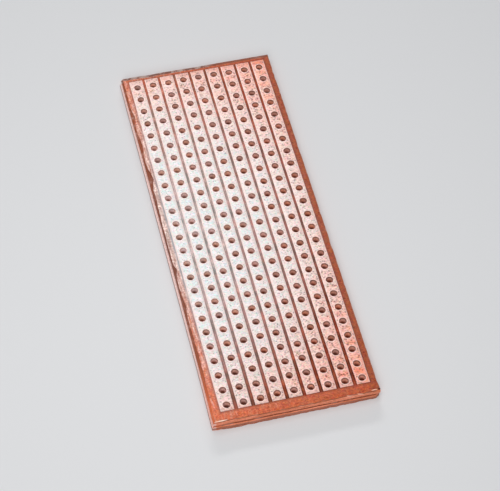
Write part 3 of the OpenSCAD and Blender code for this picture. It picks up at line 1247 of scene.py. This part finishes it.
def near_place(x, inset, depth):
    """A place at the near edge, from mm right of the middle, in from the edge and below the face"""
    return Vector((x * MM, BOARD_LOW[1] + inset * MM, BOARD_HIGH[2] - depth * MM))


def build_slivers(scene):
    """Splinters of paper along the near edge, each a thin tapered blade"""
    bm = bmesh.new()
    turns = [math.tau * k / SLIVER_SIDES for k in range(SLIVER_SIDES)]
    for number, (start, end, width) in enumerate(SLIVERS):
        start, end = Vector(start), Vector(end)
        rings = []
        for step in range(1, SLIVER_STEPS):
            t = step / SLIVER_STEPS
            x, inset, depth = start.lerp(end, t)
            x += 0.02 * waver(number + 200, t, 0.2)
            inset += 0.03 * waver(number + 210, t, 0.3)
            middle = near_place(x, inset, depth)
            thick = width * math.sin(math.pi * t) ** 0.6
            round_middle = [
                Vector((0, math.cos(turn) * thick / 2, math.sin(turn) * thick / 5))
                for turn in turns
            ]
            rings.append([bm.verts.new(middle + offset * MM) for offset in round_middle])
        for first, second in zip(rings, rings[1:]):
            bridge(bm, first, second)
        for ring, tip in ((rings[0], start), (rings[-1], end)):
            point = bm.verts.new(near_place(*tip))
            for k in range(SLIVER_SIDES):
                bm.faces.new((ring[k], ring[(k + 1) % SLIVER_SIDES], point))
    materials = [raised_paper_fibre(scene.laminate_finish)]
    finish_piece(bm, "edge_splinters", materials, 60)


# ---------------------------------------------------------------------------------------------
# The stage


def matt_white_paper(studio):
    """A sheet of matt paper: even, without gloss, a little darker away from the light"""
    material, tree, place = new_material("matt_white_paper")
    away = off_centre(tree, place, (-20, -25), (150, 150))
    tone = painted(
        tree, studio.floor, studio.floor_far, away, 0.0, 1.0, interpolation_type="SMOOTHSTEP"
    )
    surface(tree, Base_Color=tone, Roughness=0.95, IOR=1.3)
    return material


def build_floor(scene):
    """A round sheet of paper with the board in its middle"""
    bm = bmesh.new()
    bmesh.ops.create_circle(bm, cap_ends=True, segments=96, radius=2.0)
    mesh = bpy.data.meshes.new("floor")
    bm.to_mesh(mesh)
    bm.free()
    mesh.materials.append(matt_white_paper(scene.board_studio))
    floor = bpy.data.objects.new("floor", mesh)
    scene.collection.objects.link(floor)


def build_sky(scene):
    """Even light from all round, which the camera and the gloss see as the floor's own paper"""
    studio = scene.board_studio
    world = bpy.data.worlds.new("studio")
    world.use_nodes = True
    tree = world.node_tree
    tree.nodes.clear()
    seen = add_node(tree, "LightPath", out="Is Camera Ray")
    path = seen.node.outputs
    for ray in ("Is Glossy Ray", "Is Transmission Ray"):
        seen = add_node(tree, "Math", seen, path[ray], operation="MAXIMUM")
    sky = add_node(tree, "Background", WHITE, studio.sky)
    backdrop = add_node(tree, "Background", studio.floor, 1.0)
    add_node(tree, "OutputWorld", add_node(tree, "MixShader", seen, sky, backdrop))
    scene.world = world


def build_lamps(scene):
    """The softbox stands behind the board, where the glossy resin mirrors it. The key is a wide
    lamp overhead, the fill stands in front, and the low lamp throws the shadow beyond the near
    edge. These three are kept out of the gloss"""
    studio = scene.board_studio
    for name, place, width, height, radiance, mirrored in (
        ("softbox", (0.02, 0.335, 0.49), 0.26, 0.12, studio.softbox, True),
        ("key", (-0.1, 0.05, 1.0), 0.8, 0.8, studio.key, False),
        ("fill", (-0.22, -0.53, 0.42), 0.3, 0.3, studio.fill, False),
        ("low", (0.09, 0.46, 0.18), 0.22, 0.04, studio.low, False),
    ):
        light = bpy.data.lights.new(name, "AREA")
        light.shape = "RECTANGLE"
        light.size, light.size_y = width, height
        light.energy = radiance * math.pi * width * height
        lamp = bpy.data.objects.new(name, light)
        lamp.location = place
        lamp.rotation_mode = "QUATERNION"
        lamp.rotation_quaternion = lamp.location.to_track_quat("Z", "Y")
        lamp.visible_camera = False
        lamp.visible_glossy = mirrored
        scene.collection.objects.link(lamp)


def build_camera(scene):
    """The camera, turned round its aim, and the plain colours of its picture"""
    studio = scene.board_studio
    turn, rise = studio.azimuth, studio.elevation
    back = Vector(
        (math.sin(turn) * math.cos(rise), -math.cos(turn) * math.cos(rise), math.sin(rise))
    )
    right = Vector((math.cos(turn), math.sin(turn), 0))
    up = back.cross(right)
    tilt = Matrix.Rotation(studio.roll, 3, back)
    camera_data = bpy.data.cameras.new("camera")
    camera_data.sensor_width = 36
    camera_data.lens = studio.lens
    camera_data.clip_start, camera_data.clip_end = 0.01, 10
    camera = bpy.data.objects.new("camera", camera_data)
    place = Matrix((tilt @ right, tilt @ up, back)).transposed().to_4x4()
    place.translation = Vector(studio.aim) + back * studio.distance
    camera.matrix_world = place
    scene.collection.objects.link(camera)
    scene.camera = camera
    scene.view_settings.view_transform = "Standard"


# ---------------------------------------------------------------------------------------------
# The add-on


class BuildLaminate(Operator):
    """Builds the drilled phenolic paper board with its torn edges"""

    bl_idname = "prototype_board.laminate"
    bl_label = "Laminate"

    def execute(self, context):
        build_laminate(context.scene)
        return {"FINISHED"}


class BuildFoil(Operator):
    """Builds the copper foil strips"""

    bl_idname = "prototype_board.foil"
    bl_label = "Copper strips"

    def execute(self, context):
        copper = etched_copper_foil(context.scene.foil_finish)
        for index, node in enumerate(STRIPS):
            bm = build_strip(context.scene, index)
            finish_piece(bm, f"copper_foil_{index + 1}", [copper], 50, node)
        return {"FINISHED"}


class BuildSplinters(Operator):
    """Builds the loose splinters along the near edge"""

    bl_idname = "prototype_board.splinters"
    bl_label = "Splinters"

    def execute(self, context):
        build_slivers(context.scene)
        return {"FINISHED"}


class BuildStage(Operator):
    """Builds the floor, the light and the camera"""

    bl_idname = "prototype_board.stage"
    bl_label = "Stage"

    def execute(self, context):
        for build in (build_floor, build_sky, build_lamps, build_camera):
            build(context.scene)
        return {"FINISHED"}


OPERATORS = (BuildLaminate, BuildFoil, BuildSplinters, BuildStage)
SETTINGS = {
    "board_edges": EdgeSizes,
    "board_drilling": DrillSizes,
    "laminate_finish": LaminateFinish,
    "foil_finish": FoilFinish,
    "board_studio": StudioSizes,
}


class BoardPanel(Panel):
    """Lists what the add-on builds, and the sizes and colours that it uses"""

    bl_idname = "VIEW3D_PT_prototype_board"
    bl_label = "Prototype board"
    bl_space_type = "VIEW_3D"
    bl_region_type = "UI"
    bl_category = "Prototype board"

    def draw(self, context):
        for operator in OPERATORS:
            self.layout.operator(operator.bl_idname)
        for name, group in SETTINGS.items():
            box = self.layout.box()
            for setting in group.__annotations__:
                box.prop(getattr(context.scene, name), setting)


def register():
    for group in SETTINGS.values():
        bpy.utils.register_class(group)
    for name, group in SETTINGS.items():
        setattr(bpy.types.Scene, name, PointerProperty(type=group))
    for operator in OPERATORS:
        bpy.utils.register_class(operator)
    bpy.utils.register_class(BoardPanel)


def unregister():
    bpy.utils.unregister_class(BoardPanel)
    for operator in reversed(OPERATORS):
        bpy.utils.unregister_class(operator)
    for name, group in SETTINGS.items():
        delattr(bpy.types.Scene, name)
        bpy.utils.unregister_class(group)


def main():
    register()
    bpy.ops.prototype_board.laminate()
    bpy.ops.prototype_board.foil()
    bpy.ops.prototype_board.splinters()
    bpy.ops.prototype_board.stage()


if __name__ == "__main__":
    main()
